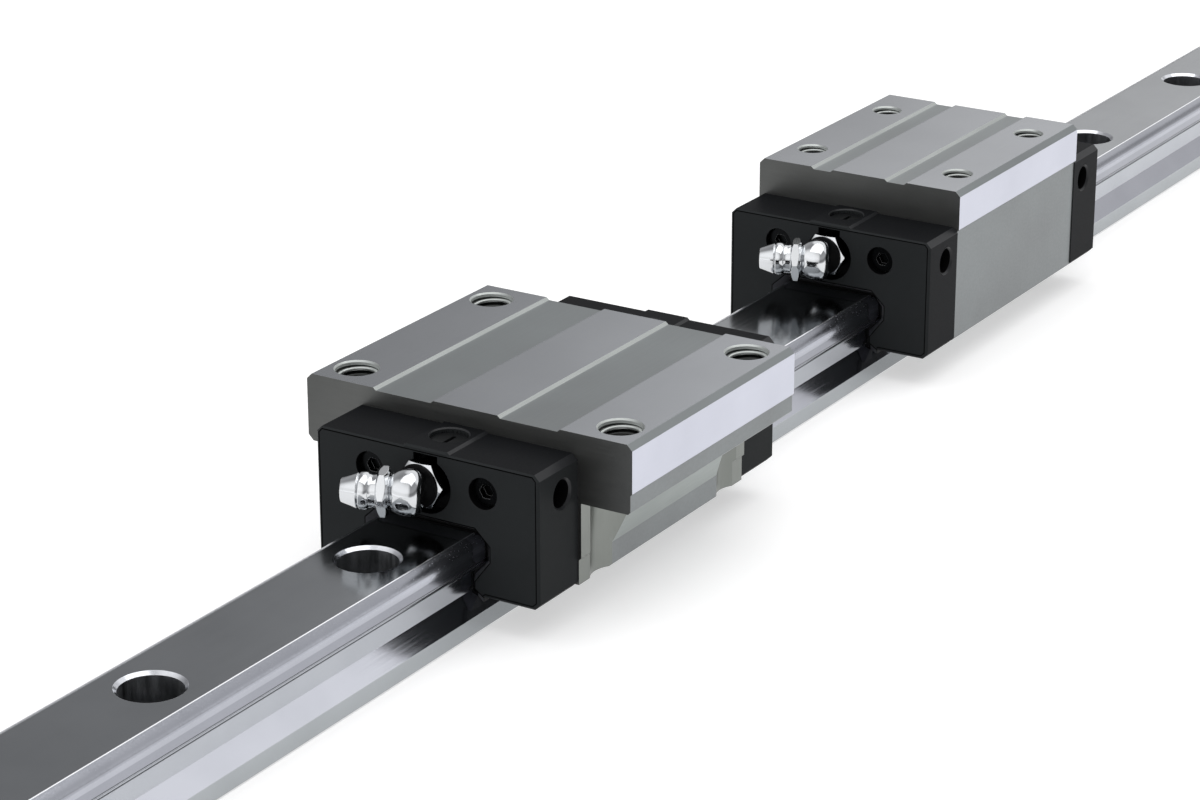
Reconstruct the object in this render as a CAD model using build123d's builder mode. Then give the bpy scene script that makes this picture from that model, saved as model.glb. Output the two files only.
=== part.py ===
# Manual linear slide: a profiled steel rail with a flanged and a slim recirculating-ball carriage.
# Frame: X across the rail, Y along it, +Z up, origin on the floor under the middle of the rail.
# The carriages' front ends, with the grease nipples, face -Y.
import os
from math import acos, cos, degrees, hypot, pi, radians, sin, sqrt

from build123d import *

# Rail
rail_length = 580.0
rail_width = 23.0
rail_height = 18.0
foot_height = 3.6
waist_width = 17.2
waist_foot_height = 6.9
lower_race_radius = 2.45
lower_race_height = 10.3
upper_race_radius = 2.86
upper_race_out = 0.71
upper_race_up = 0.07
side_groove_height = 13.25
side_groove_width = 0.8
side_groove_depth = 0.25
rail_edge_break = 0.4
rail_hole_spacing = 60.0
rail_end_margin = 20.0
rail_hole_radius = 3.5
rail_counterbore_radius = 5.5
rail_counterbore_depth = 9.0
rail_hole_chamfer = 0.6

# How far the two carriages stand from the middle of the rail
flanged_offset = 90.0
slim_offset = 60.0

# Steel blocks, shared by both carriages
block_length = 58.5
block_bottom = 7.0
channel_clearance = 0.45
top_groove_depth = 0.5
top_groove_slope = 0.6
block_edge = 1.1
block_bottom_edge = 0.4

# Flanged block
flanged_width = 70.0
flanged_height = 36.0
flanged_centre_land = 13.8
flanged_outer_land_start = 20.1
flange_ground_bottom = 26.8
flange_side_step = 0.35
flange_bottom = 22.8
flange_bottom_edge = 0.5
flange_left_bottom_edge = 1.1
body_width = 48.9
gusset_foot_height = 11.7
gusset_top_width = 57.9
pocket_radius = 5.5
pad_foot_rise = 5.3
pad_foot_depth = 0.5
flanged_hole_margin_x = 6.5
flanged_hole_margin_y = 6.75
flanged_hole_radius = 4.0
hole_chamfer = 0.3

# Slim block
slim_width = 48.0
slim_height = 40.0
slim_centre_land = 12.4
slim_outer_land_start = 11.4
slim_ground_bottom = 31.7
slim_side_step = 0.45
slim_hole_margin_x = 6.5
slim_hole_margin_y = 11.75
slim_hole_radius = 3.0
slim_hole_depth = 12.0

# End caps
cap_thickness = 12.75
cap_width = 47.5
cap_bottom = 6.6
cap_corner = 1.1
cap_bottom_corner = 1.1
cap_face_edge = 0.35
cap_land_width = 8.9
cap_land_height = 0.45
cap_land_slope = 0.5

# Mouth of the cap round the rail, and the seal that lines it
mouth_rise = 1.6
mouth_top_margin = 0.95
mouth_side_margin = 1.95
mouth_shoulder_rise = 1.35
mouth_knee_rise = 0.9
mouth_waist_margin = 1.55
mouth_waist_drop = 1.0
mouth_flare = 1.9
mouth_flare_rise = 1.3
seal_thickness = 3.0
seal_funnel_depth = 1.9
seal_funnel_margin = 0.45
seal_rim = 0.12
seal_lip_clearance = 0.06
seal_foot_drop = 0.8

# Ports in the caps, with the walls that part them from the mouth and from each other
port_setback = 5.1
side_port_radius = 2.6
side_port_depth = 5.5
side_port_chamfer = 0.4
top_port_radius = 3.55
top_port_chamfer = 0.25
top_plug_recess = 0.95
top_plug_thickness = 1.9
plug_slot_width = 0.8
plug_slot_length = 3.8
plug_slot_depth = 1.2
mouth_wall = 0.6
port_wall = 0.45
nipple_pocket_radius = 5.3
nipple_pocket_depth = 3.4
nipple_pocket_drop = 0.8
nipple_notch_width = 5.1
nipple_notch_wall = 0.7
nipple_port_radius = 3.0
nipple_port_depth = 5.5
port_plug_length = 4.5
port_plug_hex = 3.0
port_plug_hex_depth = 2.5
fit_clearance = 0.03

# Screws that hold the caps
screw_spacing = 24.2
screw_rise = 0.2
screw_recess_radius = 3.0
screw_recess_depth = 4.2
screw_head_radius = 2.7
screw_head_length = 3.0
screw_shank_radius = 1.5
screw_hex = 2.5
screw_hex_depth = 1.3
screw_thread_length = 8.0
screw_hole_extra = 1.0
screw_bore_clearance = 0.08

# Grease nipple
nipple_thread_length = 4.5
nipple_base_radius = 3.9
nipple_hex = 8.2
nipple_hex_reach = 2.15
nipple_hex_thickness = 1.55
nipple_collar_radius = 4.1
nipple_collar_thickness = 0.75
nipple_neck_radius = 2.2
nipple_elbow_reach = 6.15
nipple_elbow_radius = 4.25
nipple_elbow_half_length = 3.05
nipple_elbow_round = 2.0
nipple_elbow_angle = 66.0
nipple_flange_start = 2.5
nipple_flange_hex = 8.0
nipple_flange_thickness = 2.4
nipple_barrel_radius = 3.1
nipple_barrel_length = 1.4
nipple_ring_radius = 3.45
nipple_ring_length = 2.0
nipple_head_radius = 3.3
nipple_tip_radius = 2.2
nipple_head_length = 3.2

rail_half = rail_width / 2
waist_half = waist_width / 2
foot_run = rail_half - waist_half
foot_rise = waist_foot_height - foot_height
foot_slope_shift = (hypot(foot_run, foot_rise) - foot_rise) / foot_run
lower_race_centre = waist_half + lower_race_radius
upper_race_centre = (rail_half + upper_race_out, rail_height + upper_race_up)
rail_hole_count = int((rail_length - 2 * rail_end_margin) // rail_hole_spacing) + 1
flanged_place = -flanged_offset
slim_place = slim_offset
block_reach = block_length / 2
cap_half = cap_width / 2
pocket_height = rail_height + mouth_rise + mouth_wall + nipple_pocket_radius
nipple_height = pocket_height + nipple_pocket_drop
screw_height = nipple_height + screw_rise
land_top = nipple_height + nipple_port_radius + port_wall + top_plug_thickness + top_plug_recess
cap_top = land_top - cap_land_height
half_turn = degrees(pi)
quarter_turn = half_turn / 2
sixth_turn = half_turn / 6


def lower_race_top(margin):
    """Return the height where the lower raceway, offset by the margin, meets the rail's side."""
    across = rail_half + margin - lower_race_centre
    return lower_race_height + sqrt((lower_race_radius - margin) ** 2 - across**2)


def upper_race_low(margin):
    """Return the height where the upper raceway, offset by the margin, meets the rail's side."""
    return upper_race_centre[1] - sqrt((upper_race_radius - margin) ** 2 - (upper_race_out - margin) ** 2)


def upper_race_inner(margin):
    """Return how far from the middle the upper raceway, offset by the margin, meets the rail's top."""
    return upper_race_centre[0] - sqrt((upper_race_radius - margin) ** 2 - (upper_race_up - margin) ** 2)


def rail_outline(margin=0.0, grooved=False):
    """Return the rail's section grown by a margin: foot, waist, lower raceway, side, upper raceway, top."""
    side = rail_half + margin
    waist = waist_half + margin
    shift = margin * foot_slope_shift
    groove = [(side, upper_race_low(margin))]
    if grooved:
        low = side_groove_height - side_groove_width / 2
        high = side_groove_height + side_groove_width / 2
        floor = side - side_groove_depth
        groove = [
            (side, low),
            (floor, low + side_groove_depth),
            (floor, high - side_groove_depth),
            (side, high),
        ] + groove
    with BuildSketch() as section:
        with BuildLine():
            Polyline(
                (0, -margin),
                (side - rail_edge_break, -margin),
                (side, rail_edge_break - margin),
                (side, foot_height + shift),
                (waist, waist_foot_height + shift),
                (waist, lower_race_height),
            )
            lower_end = degrees(acos((side - lower_race_centre) / (lower_race_radius - margin)))
            lower = CenterArc(
                (lower_race_centre, lower_race_height),
                lower_race_radius - margin,
                half_turn,
                lower_end - half_turn,
            )
            edge = Polyline(lower @ 1, *groove)
            upper = RadiusArc(
                edge @ 1, (upper_race_inner(margin), rail_height + margin), margin - upper_race_radius
            )
            Line(upper @ 1, (0, rail_height + margin))
            mirror(about=Plane.YZ)
        make_face()
    return section.sketch_local


rail_section = rail_outline(grooved=True)
channel_section = rail_outline(channel_clearance)
lip_section = rail_outline(seal_lip_clearance)

with BuildPart() as rail:
    with BuildSketch(Plane.XZ):
        add(rail_section)
    extrude(amount=rail_length / 2, both=True)
    with Locations((0, 0, rail_height)):
        with GridLocations(1, rail_hole_spacing, 1, rail_hole_count):
            CounterBoreHole(rail_hole_radius, rail_counterbore_radius, rail_counterbore_depth)
    rims = rail.edges().filter_by(GeomType.CIRCLE).group_by(Axis.Z)[-1]
    chamfer(rims, rail_hole_chamfer)


def top_points(height, half, centre_land, outer_land_start):
    """Return a block's top edge from the middle outwards: its lands, shallow groove and edge break."""
    floor = height - top_groove_depth
    return [
        (centre_land / 2, height),
        (centre_land / 2 + top_groove_slope, floor),
        (outer_land_start - top_groove_slope, floor),
        (outer_land_start, height),
        (half - block_edge, height),
        (half, height - block_edge),
    ]


def both_halves(right, left):
    """Return a block's whole section from its right half and its left half, given as a right one too."""
    return right + [(-across, up) for across, up in reversed(left)]


def flanged_points():
    """Return the flanged block's section. Only its right side has the ground reference band."""
    half = flanged_width / 2
    side = half - flange_side_step
    body = body_width / 2
    top = top_points(flanged_height, half, flanged_centre_land, flanged_outer_land_start)
    ground = [
        (half, flange_ground_bottom),
        (side, flange_ground_bottom - flange_side_step),
        (side, flange_bottom + flange_bottom_edge),
        (side - flange_bottom_edge, flange_bottom),
    ]
    plain = [
        (half, flange_bottom + flange_left_bottom_edge),
        (half - flange_left_bottom_edge, flange_bottom),
    ]
    lower = [
        (gusset_top_width / 2, flange_bottom),
        (body, gusset_foot_height),
        (body, block_bottom + block_bottom_edge),
        (body - block_bottom_edge, block_bottom),
    ]
    return both_halves(top + ground + lower, top + plain + lower)


def slim_points():
    """Return the slim block's section. Only its right side has the ground reference band."""
    half = slim_width / 2
    side = half - slim_side_step
    top = top_points(slim_height, half, slim_centre_land, slim_outer_land_start)
    ground = [
        (half, slim_ground_bottom),
        (side, slim_ground_bottom - slim_side_step),
        (side, block_bottom + block_bottom_edge),
        (side - block_bottom_edge, block_bottom),
    ]
    plain = [(half, block_bottom + block_bottom_edge), (half - block_bottom_edge, block_bottom)]
    return both_halves(top + ground, top + plain)


def end_plane(place, side, setback=0.0):
    """Return the plane of a block's end face, looking along the rail, with the setback added outwards."""
    seat = Plane(origin=(0, place + side * block_reach, 0), x_dir=(-side, 0, 0), z_dir=(0, side, 0))
    return seat.offset(setback)


def make_block(points, place, height, spacing, hole_radius, hole_depth):
    """Return a steel block: its section run along the rail, with the channel, top holes and screw bores."""
    with BuildPart() as block:
        with BuildSketch(Plane.XZ.offset(-place)):
            with BuildLine():
                Polyline(*points, close=True)
            make_face()
            add(channel_section, mode=Mode.SUBTRACT)
        extrude(amount=block_reach, both=True)
        with Locations((0, place, height)):
            with GridLocations(*spacing, 2, 2):
                Hole(hole_radius, depth=hole_depth)
        circles = block.edges().filter_by(GeomType.CIRCLE).group_by(Axis.Z)[-1]
        chamfer(circles, hole_chamfer)
        for side in (-1, 1):
            with BuildSketch(end_plane(place, side)):
                with Locations((0, screw_height)):
                    with GridLocations(screw_spacing, 1, 2, 1):
                        Circle(screw_shank_radius + screw_bore_clearance)
            extrude(amount=-(screw_thread_length + screw_hole_extra), mode=Mode.SUBTRACT)
    return block.part


def mill_pockets(block):
    """Return the flanged block with room milled under its four holes, which leaves a pad at each end."""
    body = body_width / 2
    half = flanged_width / 2
    hole = half - flanged_hole_margin_x
    foot_top = block_bottom + pad_foot_rise
    with BuildPart() as milled:
        add(block)
        for side in (-1, 1):
            end = flanged_place + side * block_reach
            centre = end - side * flanged_hole_margin_y
            for hand in (-1, 1):
                with BuildSketch(Plane.XY.offset(block_bottom)):
                    with Locations((hand * hole, centre)):
                        Circle(pocket_radius)
                    with Locations((hand * (body + half) / 2, (end + centre) / 2)):
                        Rectangle(half - body, flanged_hole_margin_y)
                    with Locations((hand * (hole + half) / 2, centre)):
                        Rectangle(half - hole, 2 * pocket_radius)
                extrude(amount=flange_bottom - block_bottom, mode=Mode.SUBTRACT)
                with BuildSketch(Plane.XZ.offset(-end)):
                    with BuildLine():
                        Polyline(
                            (hand * body, block_bottom),
                            (hand * body, foot_top),
                            (hand * (body - pad_foot_depth), foot_top - pad_foot_depth),
                            (hand * (body - pad_foot_depth), block_bottom),
                            close=True,
                        )
                    make_face()
                extrude(amount=side * flanged_hole_margin_y, mode=Mode.SUBTRACT)
    return milled.part


def mouth_points(inset=0.0):
    """Return half of the cap's mouth round the rail, from the middle of its top down to its bottom."""
    side = rail_half + mouth_side_margin - inset
    waist = waist_half + mouth_waist_margin - inset
    return [
        (0, rail_height + mouth_rise - inset),
        (upper_race_inner(0) + mouth_top_margin, rail_height + mouth_rise - inset),
        (side, upper_race_low(0) + mouth_shoulder_rise),
        (side, lower_race_top(0) + mouth_knee_rise),
        (waist, lower_race_height - mouth_waist_drop),
        (waist, cap_bottom + mouth_flare_rise),
        (waist + mouth_flare, cap_bottom),
    ]


def funnel_points():
    """Return half of the funnel's inner end, which stands a margin off the rail all round."""
    side = rail_half + seal_funnel_margin
    waist = waist_half + seal_funnel_margin
    return [
        (0, rail_height + seal_funnel_margin),
        (upper_race_inner(0) + seal_funnel_margin, rail_height + seal_funnel_margin),
        (side, upper_race_low(0) + seal_funnel_margin),
        (side, lower_race_top(0) + seal_funnel_margin),
        (waist, lower_race_height - seal_funnel_margin),
        (waist, waist_foot_height + seal_funnel_margin),
        (waist + seal_funnel_margin, waist_foot_height),
    ]


def mouth_face(points, bottom):
    """Return the face that a half outline and its mirror image close off at the given bottom."""
    with BuildSketch() as mouth:
        with BuildLine():
            Polyline(*points, (points[-1][0], bottom), (0, bottom), close=True)
        make_face()
        mirror(about=Plane.YZ)
    return mouth.sketch_local


def make_cap(place, side):
    """Return a moulded end cap with its raised land, mouth, ports, nipple pocket and screw recesses."""
    seat = end_plane(place, side)
    face = end_plane(place, side, cap_thickness)
    port_y = end_plane(place, side, port_setback).origin.Y
    outer = 0 if side < 0 else -1
    with BuildPart() as cap:
        with BuildSketch(seat):
            with BuildLine():
                Polyline(
                    (0, cap_top),
                    (cap_half - cap_corner, cap_top),
                    (cap_half, cap_top - cap_corner),
                    (cap_half, cap_bottom + cap_bottom_corner),
                    (cap_half - cap_bottom_corner, cap_bottom),
                    (0, cap_bottom),
                    close=True,
                )
            make_face()
            mirror(about=Plane.YZ)
        extrude(amount=cap_thickness)
        with BuildSketch(seat):
            with BuildLine():
                Polyline(
                    (0, land_top),
                    (cap_land_width / 2, land_top),
                    (cap_land_width / 2 + cap_land_slope, cap_top),
                    (cap_land_width / 2 + cap_land_slope, cap_top - cap_face_edge),
                    (0, cap_top - cap_face_edge),
                    close=True,
                )
            make_face()
            mirror(about=Plane.YZ)
        extrude(amount=cap_thickness)
        chamfer(cap.edges().group_by(Axis.Y)[outer], cap_face_edge)
        with BuildSketch(seat):
            add(mouth_face(mouth_points(), 0))
        extrude(amount=cap_thickness, mode=Mode.SUBTRACT)
        with BuildSketch(face):
            with Locations((0, pocket_height)):
                Circle(nipple_pocket_radius)
            notch_top = cap_top - nipple_notch_wall
            with Locations((0, (pocket_height + notch_top) / 2)):
                Rectangle(nipple_notch_width, notch_top - pocket_height)
        extrude(amount=-nipple_pocket_depth, mode=Mode.SUBTRACT)
        with BuildSketch(face.offset(-nipple_pocket_depth)):
            with Locations((0, nipple_height)):
                Circle(nipple_port_radius)
        extrude(amount=-nipple_port_depth, mode=Mode.SUBTRACT)
        with BuildSketch(face):
            with Locations((0, screw_height)):
                with GridLocations(screw_spacing, 1, 2, 1):
                    Circle(screw_recess_radius)
        extrude(amount=-screw_recess_depth, mode=Mode.SUBTRACT)
        with BuildSketch(seat):
            with Locations((0, screw_height)):
                with GridLocations(screw_spacing, 1, 2, 1):
                    Circle(screw_shank_radius + screw_bore_clearance)
        extrude(amount=cap_thickness, mode=Mode.SUBTRACT)
        with BuildSketch(Plane((0, port_y, land_top))):
            Circle(top_port_radius)
        extrude(amount=-(top_plug_recess + top_plug_thickness), mode=Mode.SUBTRACT)
        chamfer(cap.edges().filter_by(GeomType.CIRCLE).group_by(Axis.Z)[-1], top_port_chamfer)
        for hand in (-1, 1):
            with BuildSketch(Plane((hand * cap_half, port_y, nipple_height), (0, 1, 0), (hand, 0, 0))):
                Circle(side_port_radius)
            extrude(amount=-side_port_depth, mode=Mode.SUBTRACT)
        for hand in (-1, 1):
            rim = cap.edges().filter_by(GeomType.CIRCLE).group_by(Axis.X)[0 if hand < 0 else -1]
            chamfer(rim, side_port_chamfer)
    return cap.part


def make_seal(place, side):
    """Return the rubber seal that lines the cap's mouth: a funnel down to a thin lip on the rail."""
    bottom = cap_bottom - seal_foot_drop
    inner = end_plane(place, side, cap_thickness - seal_thickness)
    funnel_end = end_plane(place, side, cap_thickness - seal_funnel_depth)
    with BuildPart() as seal:
        with BuildSketch(inner):
            add(mouth_face(mouth_points(), bottom))
            add(lip_section, mode=Mode.SUBTRACT)
        extrude(amount=seal_thickness)
        with BuildSketch(end_plane(place, side, cap_thickness)):
            add(mouth_face(mouth_points(seal_rim), 0))
        with BuildSketch(funnel_end):
            add(mouth_face(funnel_points(), 0))
        loft(mode=Mode.SUBTRACT)
    return seal.part


def make_screw(place, side, hand):
    """Return a socket-head screw that holds a cap to its block, seated on the floor of the cap's recess."""
    floor = end_plane(place, side, cap_thickness - screw_recess_depth)
    axis_point = (hand * screw_spacing / 2, screw_height)
    with BuildPart() as screw:
        with BuildSketch(floor):
            with Locations(axis_point):
                Circle(screw_head_radius)
        extrude(amount=screw_head_length)
        with BuildSketch(floor):
            with Locations(axis_point):
                Circle(screw_shank_radius)
        extrude(amount=-(cap_thickness - screw_recess_depth + screw_thread_length))
        with BuildSketch(floor.offset(screw_head_length)):
            with Locations(axis_point):
                RegularPolygon(screw_hex / 2, 6, major_radius=False)
        extrude(amount=-screw_hex_depth, mode=Mode.SUBTRACT)
    return screw.part


def make_top_plug(place, side):
    """Return the slotted plug that closes a cap's top port."""
    top = Plane((0, end_plane(place, side, port_setback).origin.Y, land_top - top_plug_recess))
    with BuildPart() as plug:
        with BuildSketch(top):
            Circle(top_port_radius - fit_clearance)
        extrude(amount=-top_plug_thickness)
        with BuildSketch(top):
            Rectangle(plug_slot_width, plug_slot_length)
        extrude(amount=-plug_slot_depth, mode=Mode.SUBTRACT)
    return plug.part


def make_port_plug(place, side):
    """Return the socket plug that closes the nipple's port on a rear cap, flush with the pocket's floor."""
    floor = end_plane(place, side, cap_thickness - nipple_pocket_depth)
    with BuildPart() as plug:
        with BuildSketch(floor):
            with Locations((0, nipple_height)):
                Circle(nipple_port_radius - fit_clearance)
        extrude(amount=-port_plug_length)
        with BuildSketch(floor):
            with Locations((0, nipple_height)):
                RegularPolygon(port_plug_hex / 2, 6, major_radius=False)
        extrude(amount=-port_plug_hex_depth, mode=Mode.SUBTRACT)
    return plug.part


def make_nipple(place):
    """Return the angled grease nipple on a front cap: thread, hexagon, collar, elbow and coned head."""
    floor = end_plane(place, -1, cap_thickness - nipple_pocket_depth)
    hex_front = end_plane(place, -1, cap_thickness + nipple_hex_reach)
    face_y = end_plane(place, -1, cap_thickness).origin.Y
    turn = radians(nipple_elbow_angle)
    arm = Vector(-sin(turn), -cos(turn), 0)
    elbow = Vector(0, face_y - nipple_elbow_reach, nipple_height)
    half = nipple_elbow_half_length
    round_start = half - nipple_elbow_round
    round_foot = nipple_elbow_radius - nipple_elbow_round
    ring_start = nipple_flange_start + nipple_flange_thickness + nipple_barrel_length
    head_start = ring_start + nipple_ring_length
    base_length = nipple_pocket_depth + nipple_hex_reach - nipple_hex_thickness
    with BuildPart() as nipple:
        with BuildSketch(floor):
            with Locations((0, nipple_height)):
                Circle(nipple_port_radius - fit_clearance)
        extrude(amount=-nipple_thread_length)
        with BuildSketch(floor):
            with Locations((0, nipple_height)):
                Circle(nipple_base_radius)
        extrude(amount=base_length)
        with BuildSketch(hex_front):
            with Locations((0, nipple_height)):
                RegularPolygon(nipple_hex / 2, 6, major_radius=False)
        extrude(amount=-nipple_hex_thickness)
        with BuildSketch(hex_front):
            with Locations((0, nipple_height)):
                Circle(nipple_collar_radius)
        extrude(amount=nipple_collar_thickness)
        with BuildSketch(hex_front):
            with Locations((0, nipple_height)):
                Circle(nipple_neck_radius)
        extrude(amount=nipple_elbow_reach - nipple_hex_reach)
        with BuildSketch(Plane(elbow, (0, 0, 1), arm).offset(nipple_flange_start)):
            RegularPolygon(nipple_flange_hex / 2, 6, major_radius=False, rotation=sixth_turn)
        extrude(amount=nipple_flange_thickness)
        with BuildSketch(Plane(elbow, arm, (0, 0, 1))):
            with BuildLine():
                Line((-half, 0), (-half, round_foot))
                CenterArc((-round_start, round_foot), nipple_elbow_round, half_turn, -quarter_turn)
                Line((-round_start, nipple_elbow_radius), (round_start, nipple_elbow_radius))
                CenterArc((round_start, round_foot), nipple_elbow_round, quarter_turn, -quarter_turn)
                Polyline(
                    (half, round_foot),
                    (half, nipple_barrel_radius),
                    (ring_start, nipple_barrel_radius),
                    (ring_start, nipple_ring_radius),
                    (head_start, nipple_ring_radius),
                    (head_start, nipple_head_radius),
                    (head_start + nipple_head_length, nipple_tip_radius),
                    (head_start + nipple_head_length, 0),
                    (-half, 0),
                )
            make_face()
        revolve(axis=Axis(elbow, arm))
    return nipple.part


flanged_spacing = (flanged_width - 2 * flanged_hole_margin_x, block_length - 2 * flanged_hole_margin_y)
flanged_depth = flanged_height - flange_bottom
flanged_block = make_block(
    flanged_points(), flanged_place, flanged_height, flanged_spacing, flanged_hole_radius, flanged_depth
)
slim_spacing = (slim_width - 2 * slim_hole_margin_x, block_length - 2 * slim_hole_margin_y)
pieces = {
    "rail": rail.part,
    "flanged_block": mill_pockets(flanged_block),
    "slim_block": make_block(
        slim_points(), slim_place, slim_height, slim_spacing, slim_hole_radius, slim_hole_depth
    ),
}
for name, place in (("flanged", flanged_place), ("slim", slim_place)):
    for end, side in (("front", -1), ("rear", 1)):
        pieces[f"{name}_{end}_cap"] = make_cap(place, side)
        pieces[f"{name}_{end}_seal"] = make_seal(place, side)
        pieces[f"{name}_{end}_top_plug"] = make_top_plug(place, side)
        pieces[f"{name}_{end}_screw_left"] = make_screw(place, side, -1)
        pieces[f"{name}_{end}_screw_right"] = make_screw(place, side, 1)
    pieces[f"{name}_nipple"] = make_nipple(place)
    pieces[f"{name}_rear_port_plug"] = make_port_plug(place, 1)

os.makedirs("parts", exist_ok=True)
for name, piece in pieces.items():
    piece.label = name
    export_step(piece, f"parts/{name}.step")
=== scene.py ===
"""Dresses the manual linear slide: a ground steel rail with a flanged and a slim carriage.

Everything is in metres in the CAD frame: X across the rail, Y along it, +Z up, floor at zero.
Sizes in the classes are in millimetres, and turn into metres where a mesh or a node is made.
"""

import logging
import math
from dataclasses import dataclass, field, replace
from enum import Enum
from typing import Callable, Sequence

import bpy
from mathutils import Matrix, Vector

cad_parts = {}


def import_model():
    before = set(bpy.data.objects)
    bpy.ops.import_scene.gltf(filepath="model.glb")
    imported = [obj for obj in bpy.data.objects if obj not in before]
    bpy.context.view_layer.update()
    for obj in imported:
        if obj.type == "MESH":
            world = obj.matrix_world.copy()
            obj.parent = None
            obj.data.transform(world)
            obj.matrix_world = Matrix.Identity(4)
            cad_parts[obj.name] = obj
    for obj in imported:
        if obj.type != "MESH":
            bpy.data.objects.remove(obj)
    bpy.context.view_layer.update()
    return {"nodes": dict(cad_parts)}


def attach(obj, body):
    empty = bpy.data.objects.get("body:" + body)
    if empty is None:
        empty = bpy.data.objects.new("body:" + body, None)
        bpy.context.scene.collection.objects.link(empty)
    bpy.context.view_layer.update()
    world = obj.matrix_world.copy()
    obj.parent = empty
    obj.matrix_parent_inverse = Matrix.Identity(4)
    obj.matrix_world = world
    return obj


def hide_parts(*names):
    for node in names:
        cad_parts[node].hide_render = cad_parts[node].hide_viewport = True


MM = 0.001

# A face looks along an axis where its normal's share of it is past SQUARE, is flat where that
# share is past FLAT, and leans towards it where the share is past LEANING.
SQUARE = 0.95
FLAT = 0.98
LEANING = 0.3

# Noise keeps mostly between these two values, and stains start a little above the lower one.
NOISE_LOW = 0.3
NOISE_HIGH = 0.7
STAIN_START = 0.35

# Where a rounded normal agrees with the flat one by less than the first value, the edge colour
# starts, as wear on some finishes and as a painted highlight on others, and it is full at the
# second.
WEAR_AND_HIGHLIGHT_START = 0.995
WEAR_AND_HIGHLIGHT_FULL = 0.86

# Levels of detail in the grain's and the blotches' noise, and samples of one rounded normal.
GRAIN_DETAIL = 3.0
BLOTCH_DETAIL = 4.0
BEVEL_SAMPLES = 6

Section = Sequence[tuple[float, float]]

logging.basicConfig(level=logging.INFO, format="%(name)s: %(message)s")
log = logging.getLogger("slide")


def linear(colour: str) -> tuple[float, float, float, float]:
    """Turn an sRGB hex colour into Blender's linear one.

    Args:
        colour: The colour, as #rrggbb.

    Returns:
        The linear red, green and blue, and an alpha of 1.
    """
    parts = [int(colour[i : i + 2], 16) / 255 for i in (1, 3, 5)]
    plain = [c / 12.92 if c <= 0.04045 else ((c + 0.055) / 1.055) ** 2.4 for c in parts]
    return (plain[0], plain[1], plain[2], 1.0)


def add(
    tree: bpy.types.NodeTree, kind: str, inputs: dict | None = None, **settings
) -> bpy.types.Node:
    """Add a node to a tree with its settings and links.

    Args:
        tree: The tree that the node joins.
        kind: The node's type.
        inputs: For each input, by name or index, a value or another node's output socket.
        **settings: The node's own settings, by name.

    Returns:
        The new node.
    """
    node = tree.nodes.new(kind)
    for name, value in settings.items():
        setattr(node, name, value)
    for name, value in (inputs or {}).items():
        if isinstance(value, bpy.types.NodeSocket):
            tree.links.new(value, node.inputs[name])
        else:
            node.inputs[name].default_value = value
    return node


def ranged(
    tree: bpy.types.NodeTree,
    value: bpy.types.NodeSocket,
    start: float,
    end: float,
    low: float = 0.0,
    high: float = 1.0,
    **settings,
) -> bpy.types.NodeSocket:
    """Add a node that stretches one range of a value onto another.

    Args:
        tree: The tree that the node joins.
        value: The output socket of the value.
        start: The value that turns into low.
        end: The value that turns into high.
        low: What the start turns into.
        high: What the end turns into.
        **settings: The node's own settings, by name.

    Returns:
        The output socket of the stretched value, which keeps between low and high.
    """
    inputs = {"Value": value, "From Min": start, "From Max": end, "To Min": low, "To Max": high}
    return add(tree, "ShaderNodeMapRange", inputs, **settings).outputs[0]


def mixed(
    tree: bpy.types.NodeTree, share: bpy.types.NodeSocket, one: object, two: object
) -> bpy.types.NodeSocket:
    """Add a node that mixes two colours, each given as a value or as an output socket.

    Args:
        tree: The tree that the node joins.
        share: The output socket of the second colour's share.
        one: The first colour.
        two: The second colour.

    Returns:
        The output socket of the mixed colour.
    """
    # A mix node's sockets share their names, so its colours go by number.
    inputs = {0: share, 6: one, 7: two}
    return add(tree, "ShaderNodeMix", inputs, data_type="RGBA").outputs[2]


def empty_tree(owner: bpy.types.Material | bpy.types.World) -> bpy.types.NodeTree:
    """Turn on the nodes of a material or a world, and return its emptied tree."""
    owner.use_nodes = True
    owner.node_tree.nodes.clear()
    return owner.node_tree


def link(name: str, data: bpy.types.ID) -> bpy.types.Object:
    """Make an object that holds this data, and link it to the scene."""
    piece = bpy.data.objects.new(name, data)
    bpy.context.scene.collection.objects.link(piece)
    return piece


class Surface(Enum):
    """How a surface was last worked, and the share of bare metal that this leaves on it."""

    GROUND_ALONG = ("ground along the rail", 1.0)
    MILLED_ALONG = ("milled along the rail", 1.0)
    CUT_ACROSS = ("cut across the rail", 1.0)
    DRILLED = ("drilled or turned", 1.0)
    COUNTERSUNK = ("countersunk, with a film of oil", 0.8)
    TAPPED = ("tapped, with oil and swarf left in it", 0.55)
    MOULDED = ("moulded", 0.0)
    TURNED_ROD = ("turned from plastic rod", 0.0)
    DRAWN = ("drawn, with its scale left on", 1.0)
    PLATED = ("plated", 1.0)

    @property
    def working(self) -> str:
        """Return the way the surface was worked, in words."""
        return self.value[0]

    @property
    def metallic(self) -> float:
        """Return the share of bare metal, from 0 for plastic to 1."""
        return self.value[1]


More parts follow.
